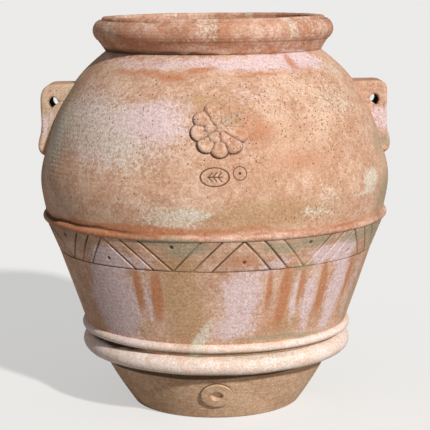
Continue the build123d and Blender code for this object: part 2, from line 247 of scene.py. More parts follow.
def wall_outline(height, belt_side=0):
    """Outside radius at a height: straight flanks with a bulged foot up to the belt, a clamped cubic above.
    The belt's own height counts as flank, or as shoulder with a belt_side of 1."""
    height = np.asarray(height, float)
    share = np.clip(height / FLANK_HEIGHTS[1], 0, 1)
    flank = np.interp(height, FLANK_HEIGHTS, FLANK_RADII) + 4 * FOOT_BULGE * share * (1 - share)
    above = np.clip(height, BELT_HEIGHT, NECK_HEIGHT)
    shoulder = clamped_cubic(SHOULDER_HEIGHTS, SHOULDER_RADII, SHOULDER_SLOPES, above)
    return np.where(height > BELT_HEIGHT - belt_side, shoulder, flank)


def hollow_outline(height):
    """Radius of the hollow at a height, a clamped cubic one wall thickness inside the outline."""
    return clamped_cubic(HOLLOW_HEIGHTS, HOLLOW_RADII, HOLLOW_SLOPES, height)


def step(low, high, x):
    """0 below low, 1 above high, and a smooth S between. It falls instead where low is the larger."""
    t = np.clip((x - low) / (high - low), 0, 1)
    return t * t * (3 - 2 * t)


def wrapped(degrees):
    """Angle brought into -180 to 180 degrees."""
    return (np.asarray(degrees) + 180) % 360 - 180


def lumps(azimuth, height, width, seed):
    """Smooth random field from -1 to 1 that closes round the jar: a seeded lattice whose cells are
    width mm across at the belly, blended by smooth steps both ways."""
    columns = max(3, round(360 * DEGREE_LENGTH / width))
    rows = int(1000 / width) + 4
    lattice = np.random.default_rng(seed).uniform(-1, 1, (rows, columns))
    across = (np.asarray(azimuth) % 360) / 360 * columns
    across, up = np.broadcast_arrays(across, (np.asarray(height) + 50) / width)
    i, j = np.floor(up).astype(int), np.floor(across).astype(int)
    s, t = step(0, 1, up - i), step(0, 1, across - j)
    i0, i1 = np.clip(i, 0, rows - 1), np.clip(i + 1, 0, rows - 1)
    j0, j1 = j % columns, (j + 1) % columns
    return ((lattice[i0, j0] * (1 - t) + lattice[i0, j1] * t) * (1 - s)
            + (lattice[i1, j0] * (1 - t) + lattice[i1, j1] * t) * s)


def crumbs(reach, turn, width, seed):
    """The same random field laid flat, for a point given by its distance and direction from a centre."""
    return lumps(reach * np.cos(turn) / DEGREE_LENGTH, reach * np.sin(turn) + 400, width, seed)


def hand_relief(azimuth, height):
    """Unevenness of a hand-built wall: two sizes of lumps and faint finger lines that drift up and down
    round the jar, less the sum of their reaches, so that it is always inwards of the outline."""
    large, small, finger, finger_pitch = 0.62, 0.3, 0.16, 8.5
    drift = 2.5 * lumps(azimuth, height, 220, 3)
    fingers = finger * np.sin(2 * np.pi * height / finger_pitch + drift)
    rough = large * lumps(azimuth, height, 150, 1) + small * lumps(azimuth, height, 38, 2) + fingers
    return in_mm(sizes().unevenness) * (rough - large - small - finger)


def groove(distance, width, depth):
    """Rounded groove: depth times a bell of the distance from its line."""
    return -depth * np.exp(-(2 * distance / width) ** 2 * 1.4)


def to_segment(x, y, start, end):
    """Distance of points from a straight segment: from the nearest point on it, whose share of the way
    along is held between 0 and 1."""
    x, y = x - start[0], y - start[1]
    across, up = end[0] - start[0], end[1] - start[1]
    share = np.clip((x * across + y * up) / (across**2 + up**2), 0, 1)
    return np.hypot(x - share * across, y - share * up)


def scoring(azimuth, height):
    """The scored band: three lines down each side of every peak, the line under them, and a finger
    dimple under each peak and over each valley, each hollow a function of the distance to its line."""
    arc = math.radians(BAND_RADIUS)
    spacing, peak_dimple, valley_dimple = 0.28, 347.0, 379.0
    width, depth = in_mm(sizes().score_width), in_mm(sizes().score_depth)
    dimple, hollow = in_mm(sizes().dimple_radius), in_mm(sizes().dimple_depth)
    field = groove(height - SCORE_LOW - 0.6 * lumps(azimuth, height, 60, 11), width, 0.8 * depth)
    for k, (peak, valley) in enumerate(ZIGZAG):
        before = ZIGZAG[k - 1][1] - (360 if k == 0 else 0)
        for turn in (valley, before):
            leg = turn - peak
            for n in range(3):
                ends = (peak + spacing * leg * n, turn - spacing * leg * (2 - n))
                x = wrapped(azimuth - ends[0]) * arc
                near = to_segment(x, height, (0, SCORE_TOP), ((ends[1] - ends[0]) * arc, SCORE_LOW))
                field = np.minimum(field, groove(near, width, depth))
        for at, level in ((peak, peak_dimple), (valley, valley_dimple)):
            near = np.hypot(wrapped(azimuth - at - 0.4) * arc, height - level)
            field = field - hollow * (1 - step(0.3, 1.25, near / dimple))
    return field


def marks(azimuth, height):
    """Two generic impressed marks, grooves along an oval with a sprig in it and along a ring with a dot."""
    depth = in_mm(sizes().stamp_depth)
    arc = math.radians(MARKS_RADIUS)
    half_wide, half_tall, to_length = 27, 17, 19
    x, y = wrapped(azimuth - OVAL_AZIMUTH) * arc, height - OVAL_HEIGHT
    oval = (np.hypot(x / half_wide, y / half_tall) - 1) * to_length
    field = groove(oval, 2.6, depth)
    field = np.minimum(field, groove(to_segment(x, y, (-14, 0), (14, 0)), 2.2, depth))
    for side in (-1, 1):
        for root in (-9, 0, 9):
            leaf = to_segment(x, y, (root - 3, 0), (root + 4, side * 8))
            field = np.minimum(field, groove(leaf, 2.2, depth))
    x, y = wrapped(azimuth - SEAL_AZIMUTH) * arc, height - SEAL_HEIGHT
    ring_radius, dot_radius = 12.5, 2
    away = np.hypot(x, y)
    field = np.minimum(field, groove(away - ring_radius, 2.2, 0.8 * depth))
    return np.minimum(field, groove(np.maximum(away - dot_radius, 0), 2.4, 0.8 * depth))


def lobes(turn, count, first, circle, radius):
    """Signed angle from the nearest petal's middle, and the outline of circles set round a circle."""
    pitch = 2 * np.pi / count
    off = (turn - math.radians(first) + pitch / 2) % pitch - pitch / 2
    return off, circle * np.cos(off) + np.sqrt(np.clip(radius**2 - (circle * np.sin(off))**2, 1, None))


def flower_shade(azimuth, height):
    """Painted shadow on the wall close round the flower: a bell of the distance from its outline, strongest
    low on the left."""
    across = wrapped(azimuth - FLOWER_AZIMUTH) * math.radians(FLOWER_RADIUS)
    up = (height - FLOWER_HEIGHT) * 1.1
    turn = np.arctan2(up, across)
    away = np.hypot(across, up) - lobes(turn, *OUTER_PETALS)[1]
    low_left = step(-0.6, 0.7, np.cos(turn - math.radians(225)))
    return np.exp(-((away - 0.5) / 2.4) ** 2) * (0.25 + 0.85 * low_left)


def tap_socket(azimuth, height):
    """Round socket in the foot that the tap collar sits in: a smooth step of the distance from its
    centre, with heights stretched because the wall leans out."""
    depth, lean = 4.0, 0.86
    across = wrapped(azimuth - TAP_AZIMUTH) * math.radians(TAP_WALL_RADIUS)
    return -depth * (1 - step(17, 26, np.hypot(across, (height - TAP_HEIGHT) / lean)))


def folded(azimuth):
    """Azimuth with the back half laid over the front, from -90 to 90 degrees."""
    turned = wrapped(azimuth)
    return np.where(turned > 90, 180 - turned, np.where(turned < -90, -180 - turned, turned))


def stain_field(kind, azimuth, height):
    """Strength of one stain: soft-edged ellipses, added up, with their places warped by lumps. The back
    repeats the front's weathering the other way round, drawn in towards its middle and lower down."""
    front = folded(azimuth)
    behind = step(91, 122, np.abs(wrapped(azimuth)))
    seed = 20 + list(STAINS).index(kind)
    x = front + 1.0 * lumps(azimuth, height, 18, seed) + 2.0 * lumps(azimuth, height, 70, seed + 10)
    y = height + 3 * lumps(azimuth, height, 22, seed + 20) + 9 * lumps(azimuth, height, 80, seed + 30)
    total = np.zeros(np.broadcast(x, y).shape)
    for at, level, wide, tall, strength, *slant in STAINS[kind]:
        lean = slant[0] if slant else 0
        narrow = wide < 4
        px = front + 0.35 * lumps(azimuth, height, 16, seed) if narrow else x
        py = height + 4 * lumps(azimuth, height, 30, seed + 20) if narrow or tall < 7 else y
        if wide < 100:
            px, py = px * (1 + 0.22 * behind), py + (26 if level > 410 else 6) * behind
        away = ((px - at - lean * (py - level)) / wide) ** 2 + ((py - level) / tall) ** 2
        total = total + strength * np.exp(-(away ** 1.5) * 0.8)
    return np.clip(total, 0, 1.2)


# ---------------------------------------------------------------- meshes

def mesh_piece(name, grid, around=True, poles=None):
    """Closed mesh on a grid of points (rows, columns, xyz) in mm. Columns always close on themselves.
    Rows close on themselves too, or end in the two pole points. Faces are turned to point outwards by
    the sign of the enclosed volume."""
    rows, columns = grid.shape[:2]
    index = np.arange(rows * columns).reshape(rows, columns)
    low = index if around else index[:-1]
    high = np.roll(index, -1, 0) if around else index[1:]
    quads = np.stack([low, np.roll(low, -1, 1), np.roll(high, -1, 1), high], -1).reshape(-1, 4)
    points = grid.reshape(-1, 3)
    fans = np.zeros((0, 3), int)
    if poles is not None:
        points = np.vstack([points, poles])
        first, last = index[0], index[-1]
        start = np.full(columns, rows * columns)
        fans = np.vstack([np.stack([start, np.roll(first, -1), first], -1),
                          np.stack([start + 1, last, np.roll(last, -1)], -1)])
    a, b, c, d = (points[quads[:, k]] for k in range(4))
    volume = np.einsum("ij,ij->", np.cross(a, b), c) + np.einsum("ij,ij->", np.cross(a, c), d)
    if volume < 0:
        quads, fans = quads[:, ::-1], fans[:, ::-1]
    mesh = bpy.data.meshes.new(name)
    loops = np.concatenate([quads.ravel(), fans.ravel()])
    starts = np.concatenate([np.arange(len(quads)) * 4, len(quads) * 4 + np.arange(len(fans)) * 3])
    mesh.vertices.add(len(points))
    mesh.vertices.foreach_set("co", (points * MM).ravel())
    mesh.loops.add(len(loops))
    mesh.loops.foreach_set("vertex_index", loops)
    mesh.polygons.add(len(starts))
    mesh.polygons.foreach_set("loop_start", starts)
    mesh.update(calc_edges=True)
    mesh.validate()
    mesh.polygons.foreach_set("use_smooth", np.ones(len(mesh.polygons), bool))
    mesh.set_sharp_from_angle(angle=math.radians(48))
    piece = bpy.data.objects.new(name, mesh)
    bpy.context.scene.collection.objects.link(piece)
    return piece


def weather(piece, shown, extra=None):
    """Stain strengths for each vertex from its azimuth and height, weakened where the surface is hidden."""
    mesh = piece.data
    co = np.empty(len(mesh.vertices) * 3)
    mesh.vertices.foreach_get("co", co)
    x, y, z = co.reshape(-1, 3).T / MM
    azimuth = np.degrees(np.arctan2(x, -y))
    exposed = np.ones(len(mesh.vertices))
    exposed[:shown.size] = shown.ravel()
    for kind in STAINS:
        field = stain_field(kind, azimuth, z) * exposed
        if extra and kind in extra:
            added = np.zeros(len(mesh.vertices))
            added[:extra[kind].size] = extra[kind].ravel()
            field = np.clip(field + added, 0, 1.2)
        mesh.attributes.new(kind, "FLOAT", "POINT").data.foreach_set("value", field.astype(np.float32))


def azimuths(fine=None, spacing=0.33, fine_spacing=0.12):
    """Column azimuths round the jar, denser between the two angles of fine."""
    if fine is None:
        return np.linspace(-180, 180, int(360 / spacing), endpoint=False)
    coarse = (fine[0] + 180, 180 - fine[1])
    left = np.linspace(-180, fine[0], int(coarse[0] / spacing), endpoint=False)
    middle = np.linspace(fine[0], fine[1], int((fine[1] - fine[0]) / fine_spacing), endpoint=False)
    return np.concatenate([left, middle, np.linspace(fine[1], 180, int(coarse[1] / spacing), endpoint=False)])


def ring_piece(name, outer, hidden, columns, relief, tilt=0.0, stains=None):
    """Ring round the axis whose section is the outer line, then the hidden line back to its start, both
    (radius, height). Outer points move along the line's own normal by relief(azimuth, height), and all
    points rise by tilt times the sine of the azimuth. The hidden side gets a quarter of the stains."""
    outer, hidden = np.asarray(outer, float), np.asarray(hidden, float)
    tangent = np.gradient(outer, axis=0)
    normal = np.stack([tangent[:, 1], -tangent[:, 0]], 1) / np.hypot(*tangent.T)[:, None]
    azimuth = np.asarray(columns)[None, :]
    offset = relief(azimuth, outer[:, 1][:, None])
    radius = outer[:, :1] + normal[:, :1] * offset
    height = outer[:, 1:] + normal[:, 1:] * offset
    behind = (len(hidden), len(columns))
    radius = np.vstack([radius, np.broadcast_to(hidden[:, :1], behind)])
    height = np.vstack([height, np.broadcast_to(hidden[:, 1:], behind)])
    turn = np.radians(azimuth)
    height = height + tilt * np.sin(turn)
    grid = np.stack([radius * np.sin(turn), -radius * np.cos(turn), height], -1)
    piece = mesh_piece(name, grid)
    shown = np.vstack([np.ones(offset.shape), np.full(behind, 0.25)])
    extra = {kind: field(azimuth, outer[:, 1][:, None]) for kind, field in (stains or {}).items()}
    weather(piece, shown, extra)
    return piece


def row_heights(low, middle, high, below, above):
    """Heights of a course's rows: so many from low up to middle, then so many up to high."""
    return np.concatenate([np.linspace(low, middle, below, endpoint=False), np.linspace(middle, high, above)])


def wall_course(name, heights, columns, relief, belt_side, stains):
    """One course of the body between two seams that slope up inwards, outer face then inner face."""
    outer = np.stack([wall_outline(heights, belt_side), heights], 1)
    bevel = SEAM_SLOPE * WALL_THICKNESS
    inside = np.linspace(heights[-1] + bevel, heights[0] + bevel, 7)
    inner = np.stack([hollow_outline(inside), inside], 1)
    return ring_piece(name, outer, inner, columns, relief, stains=stains)


def arc_points(centre, radius, start, end, count):
    """Points on a circle between two angles in degrees."""
    angle = np.radians(np.linspace(start, end, count))
    return np.stack([centre[0] + radius * np.cos(angle), centre[1] + radius * np.sin(angle)], 1)


def three_point_arc(first, middle, last, count):
    """Points on the circle through three points, from first to last by way of middle."""
    (ax, ay), (bx, by), (cx, cy) = first, middle, last
    d = 2 * (ax * (by - cy) + bx * (cy - ay) + cx * (ay - by))
    ux = ((ax**2 + ay**2) * (by - cy) + (bx**2 + by**2) * (cy - ay) + (cx**2 + cy**2) * (ay - by)) / d
    uy = ((ax**2 + ay**2) * (cx - bx) + (bx**2 + by**2) * (ax - cx) + (cx**2 + cy**2) * (bx - ax)) / d
    start, end = (math.degrees(math.atan2(y - uy, x - ux)) for x, y in (first, last))
    return arc_points((ux, uy), math.hypot(ax - ux, ay - uy), start, end, count)


def line(first, last, count, end=True):
    """Evenly spaced points on a straight line."""
    return np.linspace(first, last, count, endpoint=end)


def on_wall(at, level, across, up, out):
    """Points on the wall round a centre: across and up along the surface and out along its normal, in mm."""
    centre_slope = float(wall_outline(level + 1) - wall_outline(level - 1)) / 2
    height = level + up / math.hypot(1, centre_slope)
    radius = wall_outline(height)
    slope = (wall_outline(height + 1) - wall_outline(height - 1)) / 2
    length = np.hypot(1, slope)
    turn = np.radians(at) + across / radius
    reach = radius + out / length
    return np.stack([reach * np.sin(turn), -reach * np.cos(turn), height - out * slope / length], -1)


def finish(piece, slot, *nodes):
    """Gives a piece the clay of its slot and its body, and hides the CAD parts it stands for."""
    piece.data.materials.append(clay(slot))
    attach(piece, "root")
    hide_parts(*nodes)


# ---------------------------------------------------------------- materials

# Settings that several nodes share.
SMOOTH = {"interpolation_type": "SMOOTHSTEP"}
TINT = {"data_type": "RGBA"}


def add(tree, kind, inputs=None, **settings):
    """Adds a shader node, sets its settings, and gives its inputs values or links. A node given as a
    value is linked by its first output."""
    made = tree.nodes.new("ShaderNode" + kind)
    for key, value in settings.items():
        setattr(made, key, value)
    for key, value in (inputs or {}).items():
        source = value.outputs[0] if isinstance(value, bpy.types.Node) else value
        if isinstance(source, bpy.types.NodeSocket):
            tree.links.new(source, made.inputs[key])
        else:
            made.inputs[key].default_value = source
    return made


def empty_material(name):
    """New node material without nodes."""
    material = bpy.data.materials.new(name)
    material.use_nodes = True
    material.node_tree.nodes.clear()
    return material


def clay(slot):
    """Unglazed terracotta, fired and left outdoors. The eye gets a matt, slightly gritty body in two
    tones, cloudy salt bloom and iron stains with ragged edges, dark specks in open pits, and grime whose
    dark colour also lays painted shade in creases, recesses and under things, and on the left side."""
    tone = slot.split("_")[0]
    name = f"hand_built_terracotta_{tone}"
    if name in bpy.data.materials:
        return bpy.data.materials[name]
    palette = colours()
    material = empty_material(name)
    tree = material.node_tree
    place = add(tree, "TexCoord").outputs["Object"]

    # Cloud noise by the width of its lumps in mm, with its detail, roughness and distortion. Grit and
    # dust are really finer than 1 mm and are drawn as coarse as they need to be to show.
    clouds, patches, grit, dust = (
        add(tree, "TexNoise", {"Vector": place, "Scale": 1 / (width * MM), "Detail": detail,
                               "Roughness": roughness, "Distortion": distortion})
        for width, detail, roughness, distortion in (
            (70, 5, 0.6, 0.3), (13, 6, 0.68, 0.0), (2.6, 3, 0.7, 0.0), (5.5, 4, 0.7, 0.0)))

    # Two tones of clay in cloudy patches.
    cloudy = add(tree, "Math", {0: clouds, 1: patches})
    share = add(tree, "MapRange", {0: cloudy, 1: 0.82, 2: 1.18}, **SMOOTH)
    body = add(tree, "Mix", {0: share, 6: getattr(palette, tone + "_dark"),
                             7: getattr(palette, tone + "_light")}, **TINT).outputs[2]

    # Stains, the grime among them also painted shade: the noise that tears the edge of each, how far it
    # swings the edge, and the stain's strength.
    ragged = add(tree, "Mix", {0: 0.4, 2: patches, 3: dust})
    thin, full = 0.22, 0.85
    for kind, cloud, swing, strength in (
            ("buff", patches, 0.7, 0.75), ("bloom", ragged, 1.5, 0.85), ("rust", ragged, 1.5, 0.82),
            ("lime", dust, 1.7, 0.85), ("lichen", dust, 2.0, 0.8), ("grime_and_shade", ragged, 0.8, 0.85)):
        mask = add(tree, "Attribute", attribute_name=kind).outputs["Fac"]
        torn = add(tree, "Math", {0: cloud, 1: swing, 2: mask}, operation="MULTIPLY_ADD")
        share = add(tree, "MapRange", {0: torn, 1: thin + swing / 2, 2: full + swing / 2, 4: strength},
                    **SMOOTH)
        body = add(tree, "Mix", {0: share, 6: body, 7: getattr(palette, kind)}, **TINT).outputs[2]

    # Light and dark grains that multiply the colour, less on the rolls: where the noise turns from one
    # to the other, the two factors and how much they count.
    for cloud, light_from, dark, light, weight in (
            (grit, 0.7, (0.74, 0.73, 0.72, 1), (1.17, 1.17, 1.18, 1), 1.0),
            (dust, 0.72, (0.80, 0.77, 0.74, 1), (1.12, 1.13, 1.14, 1), 0.6 if tone == "roll" else 1.0)):
        share = add(tree, "MapRange", {0: cloud, 1: 0.3, 2: light_from}, **SMOOTH)
        grain = add(tree, "Mix", {0: share, 6: dark, 7: light}, **TINT).outputs[2]
        body = add(tree, "Mix", {0: weight, 6: body, 7: grain}, blend_type="MULTIPLY", **TINT).outputs[2]

    # Open pits, in cells 6 mm apart that a fine noise shakes out of round. A cell holds a pit where its
    # own chance is under the density painted on the piece.
    cell, shaking = 6.0 * MM, 2.4 * MM
    shake = add(tree, "TexNoise", {"Vector": place, "Scale": 1 / shaking, "Detail": 2.0}).outputs["Color"]
    shaken = add(tree, "VectorMath", {0: shake, 1: (shaking,) * 3, 2: place}, operation="MULTIPLY_ADD")
    cells = add(tree, "TexVoronoi", {"Vector": shaken, "Scale": 1 / cell, "Randomness": 1.0})
    chance = add(tree, "SeparateColor", {0: cells.outputs["Color"]})
    density = add(tree, "Attribute", attribute_name="pits").outputs["Fac"]
    open_share = add(tree, "Math", {0: density, 1: 0.55}, operation="MULTIPLY")
    picked = add(tree, "Math", {0: chance, 1: open_share}, operation="LESS_THAN")
    middle = add(tree, "MapRange", {0: cells, 1: 0.32, 2: 0.13}, **SMOOTH)
    pit = add(tree, "Math", {0: picked, 1: middle}, operation="MULTIPLY")
    dirt = add(tree, "Math", {0: pit, 1: 0.8}, operation="MULTIPLY")
    body = add(tree, "Mix", {0: dirt, 6: body, 7: palette.grime_and_shade}, **TINT).outputs[2]

    # Bump: the noises added up, less the pits.
    relief = add(tree, "Math", {0: pit, 1: -1.0}, operation="MULTIPLY")
    for cloud, height in ((patches, 0.5), (grit, 0.3), (dust, 0.35)):
        relief = add(tree, "Math", {0: cloud, 1: height, 2: relief}, operation="MULTIPLY_ADD")
    bump = add(tree, "Bump", {"Height": relief, "Strength": 0.55, "Distance": 0.9 * MM})
    roughness = add(tree, "MapRange", {0: dust, 1: 0.3, 2: 0.7, 3: 0.78, 4: 0.94}, **SMOOTH)
    shader = add(tree, "BsdfPrincipled", {"Base Color": body, "Normal": bump, "Roughness": roughness,
                                          "IOR": 1.45, "Specular IOR Level": 0.28})
    add(tree, "OutputMaterial", {"Surface": shader})
    return material


def studio_floor_paint():
    """Matt studio paint, pale and plain, on a sweep lit evenly from below, so that shadows stay light. It
    throws little light back up, which keeps the jar's own shading as strong as under open sun."""
    palette = colours()
    material = empty_material("studio_floor_paint")
    tree = material.node_tree
    seen = add(tree, "LightPath").outputs["Is Camera Ray"]
    glow = add(tree, "Emission", {"Color": palette.floor_glow, "Strength": 0.55})
    paint = add(tree, "BsdfDiffuse", {"Color": palette.floor_paint})
    lit = add(tree, "AddShader", {0: glow, 1: paint})
    dull = add(tree, "BsdfDiffuse", {"Color": palette.floor_bounce})
    both = add(tree, "MixShader", {0: seen, 1: dull, 2: lit})
    add(tree, "OutputMaterial", {"Surface": both})
    return material


# ---------------------------------------------------------------- operators

class JAR_OT_stage(bpy.types.Operator):
    """Pale floor, soft key light, pale surroundings and the camera"""
    bl_idname = "jar.stage"
    bl_label = "Stage"

    def execute(self, context):
        scene = context.scene
        half = 90.0
        corners = [(x * half, y * half, 0.0) for x, y in ((-1, -1), (1, -1), (1, 1), (-1, 1))]
        mesh = bpy.data.meshes.new("studio_floor")
        mesh.from_pydata(corners, [], [(0, 1, 2, 3)])
        mesh.materials.append(studio_floor_paint())
        floor = bpy.data.objects.new("studio_floor", mesh)
        scene.collection.objects.link(floor)

        world = bpy.data.worlds.new("pale_room")
        world.use_nodes = True
        backdrop = world.node_tree.nodes["Background"]
        backdrop.inputs["Color"].default_value = colours().room
        backdrop.inputs["Strength"].default_value = 0.24
        scene.world = world

        key_azimuth, key_height = math.radians(30), math.radians(31)
        towards = Vector((math.sin(key_azimuth) * math.cos(key_height),
                          -math.cos(key_azimuth) * math.cos(key_height), math.sin(key_height)))
        lamp = bpy.data.lights.new("soft_key", "SUN")
        lamp.energy = 3.55
        lamp.angle = math.radians(3)
        lamp.color = colours().key[:3]
        key = bpy.data.objects.new("soft_key", lamp)
        aim = towards.to_track_quat("Z", "Y").to_matrix().to_4x4()
        key.matrix_world = Matrix.Translation(towards * 4) @ aim
        scene.collection.objects.link(key)

        lens = bpy.data.cameras.new("camera")
        lens.lens = 125.1
        lens.sensor_width = 36.0
        lens.clip_end = 400
        camera = bpy.data.objects.new("camera", lens)
        distance, height, looking_down = 3.0786, 0.8872, 9.242
        tilt, roll = math.radians(90 - looking_down), math.radians(-0.6)
        camera.matrix_world = (Matrix.Translation((0.0, -distance, height)) @ Matrix.Rotation(tilt, 4, "X")
                               @ Matrix.Rotation(roll, 4, "Z"))
        scene.collection.objects.link(camera)
        scene.camera = camera
        scene.view_settings.view_transform = "Standard"
        return {"FINISHED"}


class JAR_OT_foot(bpy.types.Operator):
    """Floor disc, foot wall and the collar of the tap recess"""
    bl_idname = "jar.foot"
    bl_label = "Foot"

    def execute(self, context):
        self.foot_wall()
        self.floor_disc()
        self.tap_collar()
        return {"FINISHED"}

    def foot_wall(self):
        """Ring from the sole round its rounded edge and up the outline, with the tap collar's socket."""
        edge_centre, edge_round = (168.5, 9.0), 9.0
        edge = arc_points(edge_centre, edge_round, -90, -31.6, 7)
        rising = np.linspace(edge[-1, 1] + 1.5, FOOT_SEAM, 60)
        outer = np.vstack([line((153.0, 0.0), (166.5, 0.0), 4), edge,
                           np.stack([wall_outline(rising), rising], 1)])
        inside = np.array([FOOT_SEAM + SEAM_SLOPE * WALL_THICKNESS, 115.0, 85.0, 55.0, FLOOR_THICKNESS])
        inner = np.stack([hollow_outline(inside), inside], 1)

        def relief(azimuth, height):
            """The wall's own unevenness, fading out over the last 6 mm to the ground, and the socket."""
            return step(0, 6, height) * hand_relief(azimuth, height) + tap_socket(azimuth, height)

        def painted_roll_shadow(azimuth, height):
            """Painted shadow of the large roll: dark above a wavering edge, under the roll."""
            edge = 96 + 0.1 * np.clip(folded(azimuth), -20, 40) + 1.5 * lumps(azimuth, height, 90, 19)
            return step(edge - 2, edge + 3, height)

        wall = ring_piece("clay_foot_wall", outer, inner, azimuths((-10, 10), 0.5, 0.25), relief,
                          stains={"grime_and_shade": painted_roll_shadow})
        finish(wall, "foot_terracotta", "foot_wall")

    def floor_disc(self):
        """Disc whose top and underside carry a faint spiral: the sine of the radius plus twice the turn."""
        rows, count = 40, 240
        top_radius, sole_radius, pole_radius, spiral_radius = 171.3, 152.9, 4.0, 150.0
        turn = np.radians(np.linspace(0, 360, count, endpoint=False))[None, :]
        radius = np.concatenate([np.linspace(pole_radius, top_radius, rows),
                                 np.linspace(sole_radius, pole_radius, rows)])[:, None]
        top = (np.arange(2 * rows) < rows)[:, None]
        swirl = (0.5 * np.sin(radius / 2.6 + 2 * turn) - 0.5) * (radius < spiral_radius)
        height = np.where(top, FLOOR_THICKNESS + swirl, -0.6 * swirl)
        grid = np.stack([radius * np.sin(turn), -radius * np.cos(turn), height], -1)
        poles = [(0, 0, FLOOR_THICKNESS - 0.5), (0, 0, 0.3)]
        floor = mesh_piece("clay_floor_disc", grid, around=False, poles=poles)
        weather(floor, np.full(height.shape, 0.3))
        finish(floor, "foot_terracotta", "floor_disc")

    def tap_collar(self):
        """Low round boss with rounded edges about a bore, its section (reach, height above the wall)
        carried round and slightly out of round."""
        size = sizes()
        bore, rim = in_mm(size.bore_radius), in_mm(size.tap_radius)
        face = in_mm(size.tap_relief)
        bore_round, rim_round, bottom = 1.6, 2.2, 7.0
        section = np.vstack([
            line((bore, -bottom), (bore, face - 2.0), 4),
            arc_points((bore + bore_round, face - bore_round), bore_round, 170, 95, 4),
            line((bore + 2.5, face), (rim - 2.6, face), 10),
            arc_points((rim - rim_round, face - rim_round), rim_round, 85, 0, 5),
            line((rim, face - 3.0), (rim, -6.0), 4)])
        reach, level = section[:, :1], section[:, 1:]
        around = np.linspace(0, 2 * np.pi, 144, endpoint=False)[None, :]
        wobble = 1 + 0.012 * np.sin(2 * around + 0.8) + 0.008 * np.sin(5 * around)
        out = level - 0.25 * (1 + np.sin(3 * around + reach / 4)) * (level > 2)
        spread = reach * np.where(reach > 20, np.minimum(wobble, 1.0), wobble)
        grid = on_wall(TAP_AZIMUTH, TAP_HEIGHT, spread * np.cos(around), spread * np.sin(around), out)
        collar = mesh_piece("clay_tap_collar", grid)
        # Painted shade round the foot of the collar, where it meets the wall.
        collar_edge_shade = 0.9 * ((level < 3.2) & (reach > bore + 5)) * np.ones_like(around)
        weather(collar, np.full(grid.shape[:2], 0.25), {"grime_and_shade": collar_edge_shade})
        finish(collar, "foot_terracotta", "tap_boss")


class JAR_OT_walls(bpy.types.Operator):
    """The four courses of the body, with the scored band and the impressed marks"""
    bl_idname = "jar.walls"
    bl_label = "Body walls"

    def execute(self, context):
        def lower_relief(azimuth, height):
            """The wall's unevenness and clay smeared between the rolls: a bell of the height, 5.5 mm
            thick, left out on the left and behind."""
            thickness, middle, spread = 5.5, 154.5, 5.5
            smear = thickness * np.exp(-((height - middle) / spread) ** 2)
            smear = smear * step(-42, -22, azimuth) * step(150, 120, azimuth)
            return hand_relief(azimuth, height) + smear * (0.85 + 0.15 * lumps(azimuth, height, 50, 18))

        def band_relief(azimuth, height):
            """A smoother wall with the scoring cut in."""
            return 0.7 * hand_relief(azimuth, height) + scoring(azimuth, height)

        def scored_dirt(azimuth, height):
            """Dirt packed in the scored lines by their depth."""
            packed = 0.8 + 0.4 * lumps(azimuth, height, 40, 17)
            return packed * np.clip(-scoring(azimuth, height) / 2.4, 0, 1)

        def belly_relief(azimuth, height):
            """The wall's unevenness with the two marks pressed in."""
            return hand_relief(azimuth, height) + marks(azimuth, height)

        def stamped_dirt(azimuth, height):
            """Dirt in the two marks by their depth."""
            return 1.1 * np.clip(-marks(azimuth, height) / 1.3, 0, 1)

        courses = (
            ("lower_wall", row_heights(FOOT_SEAM, 170, BAND_SEAM, 26, 56), azimuths(spacing=0.36),
             lower_relief, 0, {}),
            ("incised_band", np.linspace(BAND_SEAM, BELT_HEIGHT, 54), azimuths(spacing=0.27),
             band_relief, 0, {"grime_and_shade": scored_dirt}),
            ("belly_wall", row_heights(BELT_HEIGHT, 490, BELLY_SEAM, 28, 46),
             azimuths((-6, 11), 0.4, 0.11), belly_relief, 1, {"grime_and_shade": stamped_dirt}),
            ("shoulder_wall", row_heights(BELLY_SEAM, 660, NECK_HEIGHT, 78, 26),
             azimuths((-10, 14), 0.5, 0.2), hand_relief, 0, {"grime_and_shade": flower_shade}),
        )
        for node, heights, columns, relief, belt_side, stains in courses:
            course = wall_course("clay_" + node, heights, columns, relief, belt_side, stains)
            finish(course, "wall_terracotta", node)
        return {"FINISHED"}


class JAR_OT_rolls(bpy.types.Operator):
    """The two rolls laid round the base and the ridge over the band"""
    bl_idname = "jar.rolls"
    bl_label = "Rolls and ridge"

    def execute(self, context):
        # Piece, CAD node, slot, height and radius of the section's middle, its half height and its depth,
        # tilt and seed.
        rolls = (
            ("clay_roll_large", "base_roll_large", "roll_terracotta", 131.5, 258.0, 20.0, 21.5, -1.6, 5),
            ("clay_roll_small", "base_roll_small", "roll_terracotta", 168.0, 270.5, 9.0, 10.0, -1.9, 6),
            ("clay_belt_ridge", "belt_ridge", "rim_terracotta", 398.0, 347.0, 8.0, 9.0, 0.6, 7),
        )
        for name, node, slot, level, centre, half, depth, tilt, seed in rolls:
            angle = np.linspace(-125, 125, 40)
            outer = np.stack([centre + depth * np.cos(np.radians(angle)),
                              level + half * np.sin(np.radians(angle))], 1)
            hidden = line(outer[-1] - (2, 1), outer[0] + (-2, 1), 3)

            def relief(azimuth, height, seed=seed, half=half):
                """Unevenness of clay rolled by hand, in proportion to the roll: two sizes of lumps."""
                reach = 0.035 * half + 0.1
                rolled = lumps(azimuth, height, 90, seed) + 0.4 * lumps(azimuth, height, 24, seed + 1)
                return reach * (0.7 * rolled - 1.0)

            finish(ring_piece(name, outer, hidden, azimuths(spacing=0.36), relief, tilt=tilt), slot, node)
        return {"FINISHED"}


